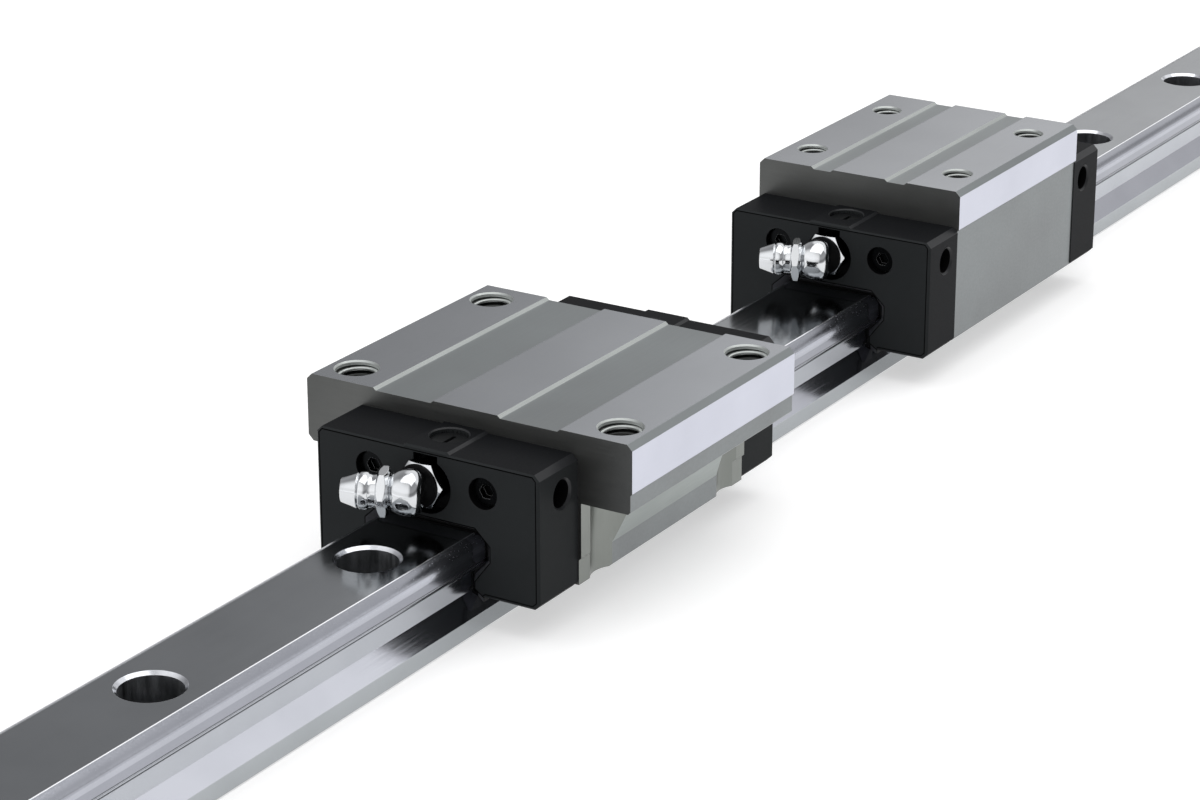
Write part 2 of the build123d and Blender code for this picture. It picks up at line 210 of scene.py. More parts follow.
@dataclass(frozen=True)
class Finish:
    """One material: its colours, its gloss and the size of its grain.

    The stain mixes into the colour in blotches, and the edge colour shows at corners: wear on
    some finishes, a painted highlight on others.
    Roughness swings by the spread with the grain, which gives, in millimetres, how long one
    mark is along X, Y and Z. Relief, blotch and edge width are in millimetres too. A finish
    with a shade turns to that colour below a height: painted shade for the dark deep in a
    bore. Marks too fine to show at the picture's scale, such as grinding lines, are drawn as
    coarse as they need to be.
    """

    name: str
    colour: str
    stain: str
    edge: str
    roughness: float
    spread: float
    surface: Surface
    grain: tuple[float, float, float]
    relief: float
    blotch: float = 18.0
    edge_width: float = 0.25
    edge_share: float = 0.5
    specular: float = 0.5
    shade: str = ""
    shade_below: float = 0.0
    shade_fade: float = 0.1

    def material(self) -> bpy.types.Material:
        """Return this finish as a Blender material, built on first use."""
        known = bpy.data.materials.get(self.name)
        return known if known else self._build()

    def _build(self) -> bpy.types.Material:
        """Build the material's nodes."""
        material = bpy.data.materials.new(self.name)
        tree = empty_tree(material)
        place = add(tree, "ShaderNodeTexCoord").outputs["Object"]
        scaled = add(
            tree,
            "ShaderNodeMapping",
            {"Vector": place, "Scale": [1 / (g * MM) for g in self.grain]},
        )
        grain = add(
            tree,
            "ShaderNodeTexNoise",
            {"Vector": scaled.outputs[0], "Scale": 1.0, "Detail": GRAIN_DETAIL},
        ).outputs["Fac"]
        blotch = add(
            tree,
            "ShaderNodeTexNoise",
            {"Vector": place, "Scale": 1 / (self.blotch * MM), "Detail": BLOTCH_DETAIL},
        ).outputs["Fac"]
        stained = ranged(tree, blotch, STAIN_START, NOISE_HIGH)
        base = mixed(tree, stained, linear(self.colour), linear(self.stain))
        rounded = add(
            tree, "ShaderNodeBevel", {"Radius": self.edge_width * MM}, samples=BEVEL_SAMPLES
        ).outputs[0]
        flat = add(tree, "ShaderNodeNewGeometry").outputs["Normal"]
        same = add(
            tree, "ShaderNodeVectorMath", {0: rounded, 1: flat}, operation="DOT_PRODUCT"
        ).outputs["Value"]
        # The edge colour at corners is wear on some finishes and a painted highlight on others.
        wear_and_highlight = ranged(tree, same, WEAR_AND_HIGHLIGHT_START, WEAR_AND_HIGHLIGHT_FULL, high=self.edge_share)
        colour = mixed(tree, wear_and_highlight, base, linear(self.edge))
        if self.shade:
            height = add(tree, "ShaderNodeSeparateXYZ", {0: place}).outputs["Z"]
            fade_start = (self.shade_below - self.shade_fade) * MM
            lit = ranged(tree, height, fade_start, self.shade_below * MM)
            colour = mixed(tree, lit, linear(self.shade), colour)
        low, high = self.roughness - self.spread, self.roughness + self.spread
        rough = ranged(tree, grain, NOISE_LOW, NOISE_HIGH, low, high)
        bump = add(
            tree,
            "ShaderNodeBump",
            {
                "Height": grain,
                "Strength": 1.0,
                "Distance": self.relief * MM,
                "Normal": rounded,
            },
        )
        shader = add(
            tree,
            "ShaderNodeBsdfPrincipled",
            {
                "Base Color": colour,
                "Metallic": self.surface.metallic,
                "Roughness": rough,
                "Specular IOR Level": self.specular,
                "Normal": bump.outputs[0],
            },
        )
        add(tree, "ShaderNodeOutputMaterial", {"Surface": shader.outputs[0]})
        log.info("finish: %s, %s", self.name, self.surface.working)
        return material


# Bearing steel ground lengthwise: a dark mirror drawn out along the rail by fine grinding lines.
# Its near-white edge colour is a painted highlight along the edges of the top.
RAIL_TOP = Finish(
    "ground bearing steel", "#8e9194", "#878a8d", "#f0f1f4", 0.14, 0.03,
    Surface.GROUND_ALONG, (0.22, 20.0, 0.22), 0.0003, edge_width=0.12, edge_share=0.9,
)
# The ball track is superfinished, with short cross marks; its lower half is painted brighter:
# painted light on the band that catches the light.
RAIL_RACE_LIT = Finish(
    "ball track with painted light", "#b4b6be", "#aaacb4", "#eeeff3", 0.15, 0.05,
    Surface.GROUND_ALONG, (0.25, 0.7, 0.25), 0.0006, edge_width=0.08, edge_share=0.6,
)
# Above the contact band the balls never polish the track, so it stays grainy; it is also
# painted darker: painted shade on the track's upper half.
RAIL_RACE_SHADED = Finish(
    "ball track shoulder with painted shade", "#96989f", "#8c8e95", "#d5d6da", 0.22, 0.06,
    Surface.GROUND_ALONG, (0.25, 0.6, 0.25), 0.0008, edge_width=0.08, edge_share=0.6,
)
# The foot's flank is ground too, and its lengthwise lines spread the floor's white to grey.
RAIL_SIDE = Finish(
    "ground rail flank", "#abafb2", "#a4a8ab", "#c5c8ca", 0.20, 0.03,
    Surface.GROUND_ALONG, (0.25, 18.0, 0.25), 0.0002, edge_width=0.06,
)
# The guiding shoulder between the ball track and the relief groove is ground finer and cooler.
RAIL_SHOULDER = Finish(
    "ground rail shoulder", "#9ea0a8", "#989aa2", "#babcc3", 0.18, 0.03,
    Surface.GROUND_ALONG, (0.25, 18.0, 0.25), 0.0002, edge_width=0.06,
)
# Between the relief groove and the waist is a reference face, ground once more: pale and even.
RAIL_FLANK = Finish(
    "ground rail reference face", "#b4b7bd", "#adb0b6", "#cccfd4", 0.19, 0.03,
    Surface.GROUND_ALONG, (0.25, 18.0, 0.25), 0.0002, edge_width=0.06,
)
# The stoned edge between the top and the ball track is a bright hairline: a tilted bar whose
# near-white colour is a painted highlight.
RAIL_EDGE_HIGHLIGHT = Finish(
    "stoned edge with painted highlight", "#f4f5f8", "#eeeff2", "#f8f9fb", 0.20, 0.02,
    Surface.GROUND_ALONG, (0.3, 30.0, 0.3), 0.0001, edge_width=0.01,
)
# The foot's slope is polished, so it mirrors the dark caps with a soft end to the reflection.
# It is also painted paler than the flanks: painted light on the slope's band.
RAIL_SLOPE_LIT = Finish(
    "polished foot slope with painted light", "#c6c8d0", "#bec0c8", "#dcdee4", 0.13, 0.03,
    Surface.GROUND_ALONG, (0.3, 25.0, 0.3), 0.0003, edge_width=0.06,
)
# Both corners of the fine relief groove get thin dark bars: painted shade for the groove's
# dark lines.
RAIL_GROOVE_SHADE = Finish(
    "painted shade in groove corner", "#606266", "#5a5c60", "#707276", 0.30, 0.04,
    Surface.GROUND_ALONG, (0.3, 25.0, 0.3), 0.0003, edge_width=0.03,
)
# Hole walls are drilled and oiled, so they stay dark.
RAIL_BORE = Finish(
    "drilled steel wall", "#8f9194", "#6c6e71", "#b4b6b9", 0.45, 0.12,
    Surface.DRILLED, (0.9, 0.9, 12.0), 0.0020, blotch=4.0, edge_width=0.1, edge_share=0.3,
)
# The countersink at each hole is turned bright, so it draws a white ring on the dark top.
HOLE_RIM = Finish(
    "countersunk bright rim", "#dfe1e6", "#c3c5ca", "#f2f3f6", 0.18, 0.04,
    Surface.DRILLED, (1.0, 1.0, 0.2), 0.0003, blotch=3.0, edge_width=0.06, edge_share=0.2,
)
# The blocks' holes are countersunk with a blunter tool, which leaves a satin ring.
BLOCK_RIM = Finish(
    "countersunk satin rim", "#b4b8b6", "#a9adab", "#c9cdcb", 0.36, 0.05,
    Surface.COUNTERSUNK, (1.0, 1.0, 0.2), 0.0003, edge_width=0.06, edge_share=0.2,
)
# Rail ends are cut with an abrasive wheel and look greyer than the ground faces.
RAIL_END = Finish(
    "wheel-cut steel end", "#8b8c8e", "#7b7c7e", "#c5c7ca", 0.34, 0.08,
    Surface.CUT_ACROSS, (0.25, 1.0, 9.0), 0.0020,
)
# Lands on the blocks are ground flat: satin grey with a faint lengthwise grain.
BLOCK_LAND = Finish(
    "ground carriage land", "#a7aaae", "#9ea1a5", "#d4d6da", 0.17, 0.03,
    Surface.GROUND_ALONG, (0.2, 12.0, 0.2), 0.0003, blotch=40.0, edge_width=0.08,
)
# The shallow grooves between the lands are milled: matt, and a little greener than the lands.
BLOCK_GROOVE = Finish(
    "milled carriage groove", "#8b9091", "#828687", "#b6bbbc", 0.32, 0.03,
    Surface.MILLED_ALONG, (0.3, 12.0, 0.3), 0.0004, blotch=40.0, edge_width=0.08,
)
# The grooves' short slopes catch the window, and are painted paler than the groove too:
# painted light that draws thin pale lines along the top.
BLOCK_SLOPE_LIT = Finish(
    "milled groove slope with painted light", "#abafad", "#a3a7a5", "#d4d6d6", 0.28, 0.03,
    Surface.MILLED_ALONG, (0.3, 12.0, 0.3), 0.0004, edge_width=0.05,
)
# The reference edge is ground bright and cool in tone.
BLOCK_SIDE = Finish(
    "ground reference edge", "#c9cbd6", "#c3c5d0", "#f0f1f6", 0.32, 0.03,
    Surface.GROUND_ALONG, (0.2, 12.0, 0.2), 0.0003, edge_width=0.08,
)
# Below the ground band the steel keeps its drawn skin: matt and slightly warm.
BLOCK_SKIN = Finish(
    "drawn steel skin", "#888c8d", "#828586", "#aeb0b0", 0.44, 0.04,
    Surface.DRAWN, (0.5, 0.8, 0.5), 0.0010, edge_width=0.08,
)
# The slanted gusset under the flange is planed, and painted paler than the skin below it:
# painted light on this downward face.
BLOCK_GUSSET_LIT = Finish(
    "planed gusset face with painted light", "#a3a9a7", "#9da3a1", "#c8ccca", 0.40, 0.04,
    Surface.MILLED_ALONG, (0.4, 6.0, 0.4), 0.0006, edge_width=0.08,
)
# The pockets round the bolt holes are milled from below, with upright marks.
BLOCK_POCKET = Finish(
    "milled pocket wall", "#848783", "#7c7f7b", "#b0b3af", 0.32, 0.04,
    Surface.CUT_ACROSS, (0.5, 0.5, 6.0), 0.0006, edge_width=0.08,
)
# The end faces are hardened dark and ground, and take on the dark of the caps.
BLOCK_END = Finish(
    "hardened carriage end", "#5b5c5b", "#545554", "#838483", 0.42, 0.04,
    Surface.CUT_ACROSS, (6.0, 0.3, 0.3), 0.0005, edge_width=0.08,
)
# Threads are cut bright. Where this finish lines a bore, painted shade darkens it below the
# first crest, for the dark deep in the bore.
TAPPED = Finish(
    "tapped steel thread", "#c9cdcb", "#bdc1bf", "#d9dddb", 0.40, 0.05,
    Surface.TAPPED, (0.5, 0.5, 0.2), 0.0004, edge_width=0.05, edge_share=0.3,
)
# Glass-filled nylon, moulded: near black with a fine stipple, and slightly paler edges that
# are a painted highlight.
CAP_PLASTIC = Finish(
    "moulded black nylon", "#2c2e2f", "#292b2c", "#3e3f41", 0.44, 0.04,
    Surface.MOULDED, (0.35, 0.35, 0.35), 0.0010, edge_width=0.10, edge_share=0.4, specular=0.03,
)
# The slim caps' flanks stand free of any flange, and are painted darker: painted shade on
# those flanks.
CAP_FLANK_SHADE = Finish(
    "nylon flank with painted shade", "#202123", "#1e1f21", "#323335", 0.44, 0.04,
    Surface.MOULDED, (0.35, 0.35, 0.35), 0.0010, edge_width=0.10, edge_share=0.4, specular=0.03,
)
# The mould's bevels are polished, so they catch more light than the stippled faces.
CAP_BEVEL = Finish(
    "polished nylon bevel", "#262729", "#242527", "#36373a", 0.32, 0.03,
    Surface.MOULDED, (0.35, 0.35, 0.35), 0.0004, edge_width=0.05, edge_share=0.3, specular=0.25,
)
# The tops of the caps are a finer stipple, and are painted darker than the fronts: painted
# shade on the upward faces.
CAP_TOP_SHADE = Finish(
    "fine-stippled black nylon with painted shade", "#161719", "#141517", "#2c2d2f", 0.46, 0.04,
    Surface.MOULDED, (0.25, 0.25, 0.25), 0.0008, edge_width=0.10, edge_share=0.4, specular=0.03,
)
# The parting seam is a hairline step in the moulding; its near-black strip is painted shade
# for the dark in that step.
CAP_SEAM_SHADE = Finish(
    "painted shade in nylon seam", "#020202", "#020202", "#040404", 0.70, 0.04,
    Surface.MOULDED, (0.35, 0.35, 0.35), 0.0002, edge_width=0.02, edge_share=0.2, specular=0.02,
)
# Pockets and bores keep the mould's dull skin, and are painted near black: painted shade for
# the dark in these recesses. The nipple's black collar is this near-black nylon too.
CAP_BORE_SHADE_AND_BLACK = Finish(
    "near-black nylon with painted recess shade", "#080809", "#060607", "#0e0e0f", 0.50, 0.05,
    Surface.MOULDED, (0.35, 0.35, 0.35), 0.0006, edge_width=0.05, edge_share=0.3, specular=0.08,
)
# Nitrile rubber is matt and a touch paler than the nylon, and hides its mould marks.
SEAL_RUBBER = Finish(
    "nitrile rubber seal", "#2c2d2e", "#28292a", "#3a3b3c", 0.50, 0.06,
    Surface.MOULDED, (0.5, 0.5, 0.5), 0.0010, edge_width=0.10, specular=0.10,
)
# The funnel before the lip is painted paler, as pale as the cap round it: painted light on
# its slope.
SEAL_FUNNEL_LIT = Finish(
    "rubber funnel with painted light", "#505154", "#48494c", "#5c5d60", 0.55, 0.06,
    Surface.MOULDED, (0.5, 0.5, 0.5), 0.0010, edge_width=0.05, specular=0.10,
)
# The lip runs on the oiled rail deep in the mouth, and is painted near black: painted shade
# that makes it the darkest line of the mouth.
SEAL_LIP_SHADE = Finish(
    "rubber lip with painted shade", "#060606", "#080808", "#101010", 0.40, 0.06,
    Surface.MOULDED, (0.5, 0.5, 0.5), 0.0010, edge_width=0.10, specular=0.10,
)
# The plugs are turned from black rod: smoother than the caps, with a faint sheen.
PLUG_PLASTIC = Finish(
    "turned black plug", "#191a1b", "#171819", "#2c2e2f", 0.38, 0.05,
    Surface.TURNED_ROD, (0.3, 0.3, 0.3), 0.0010, edge_width=0.10, specular=0.10,
)
# Screws are black-oxide steel: dark, faintly metallic, with rubbed socket edges.
SCREW_OXIDE = Finish(
    "black-oxide screw", "#151617", "#101112", "#7f8081", 0.32, 0.08,
    Surface.DRILLED, (0.4, 0.4, 0.4), 0.0010, edge_width=0.14, edge_share=0.8,
)
# Bright chrome on brass: a nearly clean mirror that breaks the room into white and black.
NIPPLE_CHROME = Finish(
    "bright chrome plate", "#d3d5d7", "#cacccf", "#f4f5f7", 0.11, 0.02,
    Surface.PLATED, (1.5, 1.5, 1.5), 0.0004, edge_width=0.15,
)
# The hexagon's flats are chrome like the rest, painted dark: a painted reflection of the dark
# pocket round them.
NIPPLE_FLAT_REFLECTION = Finish(
    "chrome hexagon flat with painted reflection", "#2b2c2d", "#232425", "#8a8b8c", 0.20, 0.04,
    Surface.PLATED, (1.5, 1.5, 1.5), 0.0004, edge_width=0.12, edge_share=0.6,
)


def paint(
    node: bpy.types.Object, finishes: Sequence[Finish], choose: Callable[[Vector, Vector], Finish]
) -> None:
    """Give each face of a CAD node the finish of the surface that it lies on.

    Args:
        node: The CAD node.
        finishes: Every finish that the node has.
        choose: Gives a face's finish from its centre, in millimetres, and its normal.
    """
    mesh = node.data
    mesh.materials.clear()
    for finish in finishes:
        mesh.materials.append(finish.material())
    order = {finish.name: i for i, finish in enumerate(finishes)}
    for face in mesh.polygons:
        face.material_index = order[choose(face.center / MM, face.normal).name]


def make_object(
    name: str,
    points: Sequence[Vector],
    faces: Sequence[Sequence[int]],
    finish: Finish,
    sharp: float = 30.0,
) -> bpy.types.Object:
    """Make a mesh object at the origin from points in millimetres.

    Args:
        name: The object's name.
        points: The corners, in millimetres.
        faces: The faces, as indices of corners.
        finish: The finish of the whole piece.
        sharp: The angle in degrees past which an edge stays sharp.

    Returns:
        The new object, linked to the scene.
    """
    mesh = bpy.data.meshes.new(name)
    mesh.from_pydata([tuple(p * MM) for p in points], [], [tuple(f) for f in faces])
    mesh.validate()
    mesh.shade_smooth()
    mesh.set_sharp_from_angle(angle=math.radians(sharp))
    mesh.materials.append(finish.material())
    return link(name, mesh)


@dataclass
class Shell:
    """Corners and faces gathered along one axis, such as a turned or a six-sided shape."""

    origin: Vector
    axis: Vector
    up: Vector = field(default_factory=lambda: Vector((0, 0, 1)))
    turns: int = 72
    points: list[Vector] = field(default_factory=list)
    faces: list[tuple[int, ...]] = field(default_factory=list)

    def ring(self, along: Callable[[float], float], radius: Callable[[float], float]) -> list[int]:
        """Add one ring of corners.

        Args:
            along: Gives the place along the axis at an angle.
            radius: Gives the distance from the axis at an angle.

        Returns:
            The indices of the ring's corners.
        """
        side = self.axis.cross(self.up).normalized()
        over = side.cross(self.axis).normalized()
        first = len(self.points)
        for i in range(self.turns):
            angle = math.tau * i / self.turns
            spoke = over * math.cos(angle) + side * math.sin(angle)
            self.points.append(self.origin + self.axis * along(angle) + spoke * radius(angle))
        return list(range(first, first + self.turns))

    def join(self, one: Sequence[int], two: Sequence[int]) -> None:
        """Close the band between two rings, the second further along the axis."""
        for i in range(self.turns):
            j = (i + 1) % self.turns
            self.faces.append((one[i], one[j], two[j], two[i]))

    def close(self, ring: Sequence[int], front: bool) -> None:
        """Close a ring with one face, which looks along the axis if front is true."""
        self.faces.append(tuple(ring) if front else tuple(reversed(ring)))

    def turned(self, profile: Section) -> None:
        """Add a closed turned shape.

        Args:
            profile: Pairs of place along the axis and radius, from back to front.
        """
        rings = [self.ring(lambda _, a=a: a, lambda _, r=r: r) for a, r in profile]
        for one, two in zip(rings, rings[1:]):
            self.join(one, two)
        self.close(rings[0], False)
        self.close(rings[-1], True)

    def hexagon(self, back: float, front: float, flats: float, bevel: float = 0.97) -> None:
        """Add a six-sided nut shape whose corners are chamfered by a cone at both ends.

        Args:
            back: Where it starts along the axis.
            front: Where it ends along the axis.
            flats: The distance across its flats.
            bevel: Where the chamfering cone starts, as a share of half the distance across flats.
        """
        half = flats / 2
        start = half * bevel
        fall = math.tan(math.radians(30))

        def wall(angle: float) -> float:
            """Return the six-sided outline's radius at an angle."""
            turn = (angle - math.pi / 6) % (math.pi / 3) - math.pi / 6
            return half / math.cos(turn)

        low = self.ring(lambda a: back + fall * (wall(a) - start), wall)
        high = self.ring(lambda a: front - fall * (wall(a) - start), wall)
        inner = self.ring(lambda _: front, lambda _: start)
        self.join(low, high)
        self.join(high, inner)
        self.close(inner, True)
        rear = self.ring(lambda _: back, lambda _: start)
        self.join(rear, low)
        self.close(rear, False)


@dataclass
class Rail:
    """The profiled rail, whose faces are told apart by height and direction.

    The edge and the two groove lines are sections of hairline bars: corners across and up. The
    edge bar is a painted highlight, and the groove bars are painted shade.
    """

    top: float = 18.0
    half_length: float = 290.0
    hole_spacing: float = 60.0
    hole_reach: float = 6.25
    rim_depth: float = 1.0
    wall_inset: float = 0.2
    plane_reach: float = 0.1
    race_inner: float = 9.2
    race_middle: float = 16.5
    race_low: float = 15.25
    shoulder_low: float = 13.6
    waist_low: float = 6.9
    foot_top: float = 3.6
    edge: Section = ((9.12, 17.9), (9.12, 18.045), (9.37, 18.0), (9.37, 17.9))
    upper_line: Section = ((11.1, 13.50), (11.1, 13.67), (11.51, 13.67), (11.51, 13.50))
    lower_line: Section = ((11.1, 12.83), (11.1, 12.98), (11.51, 12.98), (11.51, 12.83))

    def finish_of(self, centre: Vector, normal: Vector) -> Finish:
        """Return the finish of the rail's face with this centre and normal."""
        if abs(normal.y) > SQUARE and abs(centre.y) > self.half_length - self.plane_reach:
            return RAIL_END
        first = self.hole_spacing / 2
        hole = round((centre.y - first) / self.hole_spacing) * self.hole_spacing + first
        if math.hypot(centre.x, centre.y - hole) < self.hole_reach:
            if LEANING < normal.z < SQUARE and centre.z > self.top - self.rim_depth:
                return HOLE_RIM
            if self.wall_inset < centre.z < self.top - self.wall_inset:
                return RAIL_BORE
        if normal.z > SQUARE and centre.z > self.top - self.plane_reach:
            return RAIL_TOP
        if centre.z > self.race_low and abs(centre.x) > self.race_inner:
            # The ball track's upper half gets painted shade, and its lower half painted light.
            return RAIL_RACE_SHADED if centre.z > self.race_middle else RAIL_RACE_LIT
        if centre.z > self.shoulder_low:
            return RAIL_SHOULDER
        # The foot's slope gets painted light.
        if self.foot_top < centre.z < self.waist_low and normal.z > LEANING:
            return RAIL_SLOPE_LIT
        return RAIL_FLANK if centre.z > self.waist_low else RAIL_SIDE

    def bar(self, name: str, section: Section, finish: Finish) -> None:
        """Lay a hairline bar along the whole rail on both sides, as one object.

        Args:
            name: The object's name.
            section: The right bar's corners across and up, clockwise as seen from the front.
            finish: The bars' finish.
        """
        points: list[Vector] = []
        faces: list[tuple[int, ...]] = []
        count = len(section)
        for hand in (1, -1):
            first = len(points)
            for y in (-self.half_length, self.half_length):
                points += [Vector((hand * x, y, z)) for x, z in section]
            near = list(range(first, first + count))
            far = list(range(first + count, first + 2 * count))
            sides = [
                (near[i], far[i], far[(i + 1) % count], near[(i + 1) % count]) for i in range(count)
            ]
            group = [tuple(near), tuple(reversed(far)), *sides]
            faces += [f if hand < 0 else tuple(reversed(f)) for f in group]
        piece = make_object(name, points, faces, finish)
        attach(piece, "rail")

    def dress(self, nodes: dict[str, bpy.types.Object]) -> None:
        """Paint the rail and lay its edge and groove lines."""
        finishes = (
            RAIL_TOP, RAIL_RACE_LIT, RAIL_RACE_SHADED, RAIL_SIDE, RAIL_FLANK, RAIL_SHOULDER,
            RAIL_SLOPE_LIT, RAIL_BORE, HOLE_RIM, RAIL_END,
        )
        paint(nodes["rail"], finishes, self.finish_of)
        self.bar("rail_top_edge", self.edge, RAIL_EDGE_HIGHLIGHT)
        self.bar("rail_upper_groove_line", self.upper_line, RAIL_GROOVE_SHADE)
        self.bar("rail_lower_groove_line", self.lower_line, RAIL_GROOVE_SHADE)
        log.info("rail: painted, with its lines")


@dataclass
class BoreThreads:
    """The threads in a block's four top bores, which Geometry Nodes grow along a spiral.

    The wall is the bore's radius. The crest is the flat top's share of the pitch, and steps
    is the number of points on one turn.
    """

    block: str
    body: str
    centre: tuple[float, float]
    spacing: tuple[float, float]
    top: float
    bottom: float
    wall: float
    pitch: float
    depth: float
    crest: float = 0.46
    steps: int = 48
    # The colour of the painted shade on the crests below the first, deep in the bore.
    groove: str = "#3e403f"

    @property
    def finish(self) -> Finish:
        """The thread's finish: its first crest is bright, and the ones below get painted shade."""
        return replace(
            TAPPED,
            name=f"tapped thread with painted shade {self.pitch:.2f}",
            shade=self.groove,
            shade_below=self.top - self.pitch,
        )

    def tree(self) -> bpy.types.NodeTree:
        """Build the node tree, whose inputs are the thread's sizes in metres."""
        tree = bpy.data.node_groups.new("bore threads", "GeometryNodeTree")
        face = tree.interface
        for name in ("Turns", "Radius", "Length", "Ridge", "Width", "Spacing X", "Spacing Y"):
            face.new_socket(name, in_out="INPUT", socket_type="NodeSocketFloat")
        face.new_socket("Place", in_out="INPUT", socket_type="NodeSocketVector")
        face.new_socket("Finish", in_out="INPUT", socket_type="NodeSocketMaterial")
        face.new_socket("Geometry", in_out="OUTPUT", socket_type="NodeSocketGeometry")
        sizes = add(tree, "NodeGroupInput").outputs
        spiral = add(
            tree,
            "GeometryNodeCurveSpiral",
            {
                "Resolution": self.steps,
                "Rotations": sizes["Turns"],
                "Start Radius": sizes["Radius"],
                "End Radius": sizes["Radius"],
                "Height": sizes["Length"],
            },
        )
        upright = add(tree, "GeometryNodeSetCurveNormal", {"Curve": spiral.outputs[0]}, mode="Z_UP")
        ridge = add(
            tree,
            "GeometryNodeCurvePrimitiveQuadrilateral",
            {"Width": sizes["Ridge"], "Height": sizes["Width"]},
        )
        swept = add(
            tree,
            "GeometryNodeCurveToMesh",
            {"Curve": upright.outputs[0], "Profile Curve": ridge.outputs[0], "Fill Caps": True},
        )
        grid = add(
            tree,
            "GeometryNodeMeshGrid",
            {
                "Size X": sizes["Spacing X"],
                "Size Y": sizes["Spacing Y"],
                "Vertices X": 2,
                "Vertices Y": 2,
            },
        )
        moved = add(
            tree,
            "GeometryNodeTransform",
            {"Geometry": grid.outputs[0], "Translation": sizes["Place"]},
        )
        placed = add(
            tree,
            "GeometryNodeInstanceOnPoints",
            {"Points": moved.outputs[0], "Instance": swept.outputs[0]},
        )
        real = add(tree, "GeometryNodeRealizeInstances", {"Geometry": placed.outputs[0]})
        dressed = add(
            tree,
            "GeometryNodeSetMaterial",
            {"Geometry": real.outputs[0], "Material": sizes["Finish"]},
        )
        add(tree, "NodeGroupOutput", {"Geometry": dressed.outputs[0]})
        return tree

    def build(self) -> None:
        """Grow the threads, turn them into a plain mesh and hang them on their carriage."""
        name = f"{self.block}_bore_threads"
        host = link(f"{name}_host", bpy.data.meshes.new(f"{name}_host"))
        modifier = host.modifiers.new("threads", "NODES")
        modifier.node_group = self.tree()
        length = self.top - self.bottom
        values = {
            "Turns": length / self.pitch,
            "Radius": (self.wall - self.depth / 2) * MM,
            "Length": length * MM,
            "Ridge": self.depth * MM,
            "Width": self.pitch * self.crest * MM,
            "Spacing X": self.spacing[0] * MM,
            "Spacing Y": self.spacing[1] * MM,
            "Place": tuple(v * MM for v in (*self.centre, self.bottom)),
            "Finish": self.finish.material(),
        }
        for socket in modifier.node_group.interface.items_tree:
            if socket.in_out == "INPUT":
                modifier[socket.identifier] = values[socket.name]
        bpy.context.view_layer.update()
        ready = host.evaluated_get(bpy.context.evaluated_depsgraph_get())
        mesh = bpy.data.meshes.new_from_object(ready)
        host.modifiers.remove(modifier)
        bpy.data.objects.remove(host)
        mesh.name = name
        piece = link(name, mesh)
        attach(piece, self.body)
        log.info("%s: %d faces", name, len(mesh.polygons))


@dataclass
class Block:
    """A carriage's steel block, whose faces are told apart by height and direction.

    The share of the pitch down to which a bore's wall keeps its bright colour is given in
    turns; below it, the wall gets painted shade.
    """

    node: str
    height: float
    half_width: float
    place: float
    threads: BoreThreads
    half_length: float = 29.25
    groove_depth: float = 0.5
    bevel: float = 1.5
    rim_width: float = 0.4
    plane_reach: float = 0.1
    edge_reach: float = 0.05
    gusset_inner: float = 24.5
    gusset_outer: float = 29.0
    gusset_lean: tuple[float, float] = (0.2, 0.6)
    pocket_reach: float = 12.4
    pocket_inner: float = 22.9
    pocket_top: float = 22.7
    unshaded_turns: float = 0.62
    # The colour of the painted shade on the bore wall below the first thread.
    bore_painted_shade: str = "#1b1d1c"

    @property
    def bore(self) -> Finish:
        """The bore wall's finish: bright above the first thread, painted shade in the cut below."""
        return replace(
            TAPPED,
            name=f"tapped bore wall with painted shade {self.height:.0f}",
            shade=self.bore_painted_shade,
            shade_below=self.height - self.threads.pitch * self.unshaded_turns,
        )

    def finish_of(self, centre: Vector, normal: Vector) -> Finish:
        """Return the finish of the block's face with this centre and normal."""
        across = abs(centre.x)
        from_end = self.half_length - abs(centre.y - self.place)
        if abs(normal.y) > SQUARE and abs(from_end) < self.edge_reach:
            return BLOCK_END
        hole = math.hypot(
            across - self.threads.spacing[0] / 2,
            abs(centre.y - self.threads.centre[1]) - self.threads.spacing[1] / 2,
        )
        if hole < self.threads.wall + self.rim_width and abs(normal.z) < SQUARE:
            return BLOCK_RIM if normal.z > LEANING else self.bore
        if normal.z > FLAT:
            return BLOCK_LAND if centre.z > self.height - self.plane_reach else BLOCK_GROOVE
        inner = across < self.half_width - self.bevel
        groove_low = self.height - self.groove_depth - self.plane_reach
        # Slopes inside the top's bevels get painted light.
        if normal.z > LEANING and inner and centre.z > groove_low:
            return BLOCK_SLOPE_LIT
        if normal.z > LEANING and not inner:
            return BLOCK_GROOVE
        if normal.x > FLAT and across > self.half_width - self.edge_reach:
            return BLOCK_SIDE
        least, most = self.gusset_lean
        # The gusset gets painted light.
        if self.gusset_inner < across < self.gusset_outer and least < -normal.z < most:
            return BLOCK_GUSSET_LIT
        outside = across > self.pocket_inner and centre.z < self.pocket_top
        if outside and from_end < self.pocket_reach:
            return BLOCK_POCKET
        return BLOCK_SKIN

    def dress(self, nodes: dict[str, bpy.types.Object]) -> None:
        """Paint the block and cut its threads."""
        finishes = (
            BLOCK_LAND, BLOCK_GROOVE, BLOCK_SLOPE_LIT, BLOCK_SIDE, BLOCK_SKIN, BLOCK_GUSSET_LIT,
            BLOCK_POCKET, BLOCK_END, BLOCK_RIM, self.bore,
        )
        paint(nodes[self.node], finishes, self.finish_of)
        log.info("%s: painted", self.node)
        self.threads.build()


# The collar's rounded edges: steps from its back and its front face, and cuts in its radius.
COLLAR_BACK = ((-0.05, 0.2), (0.05, 0.05), (0.2, 0.0))
COLLAR_FRONT = ((-0.2, 0.0), (-0.05, 0.1), (0.0, 0.35))

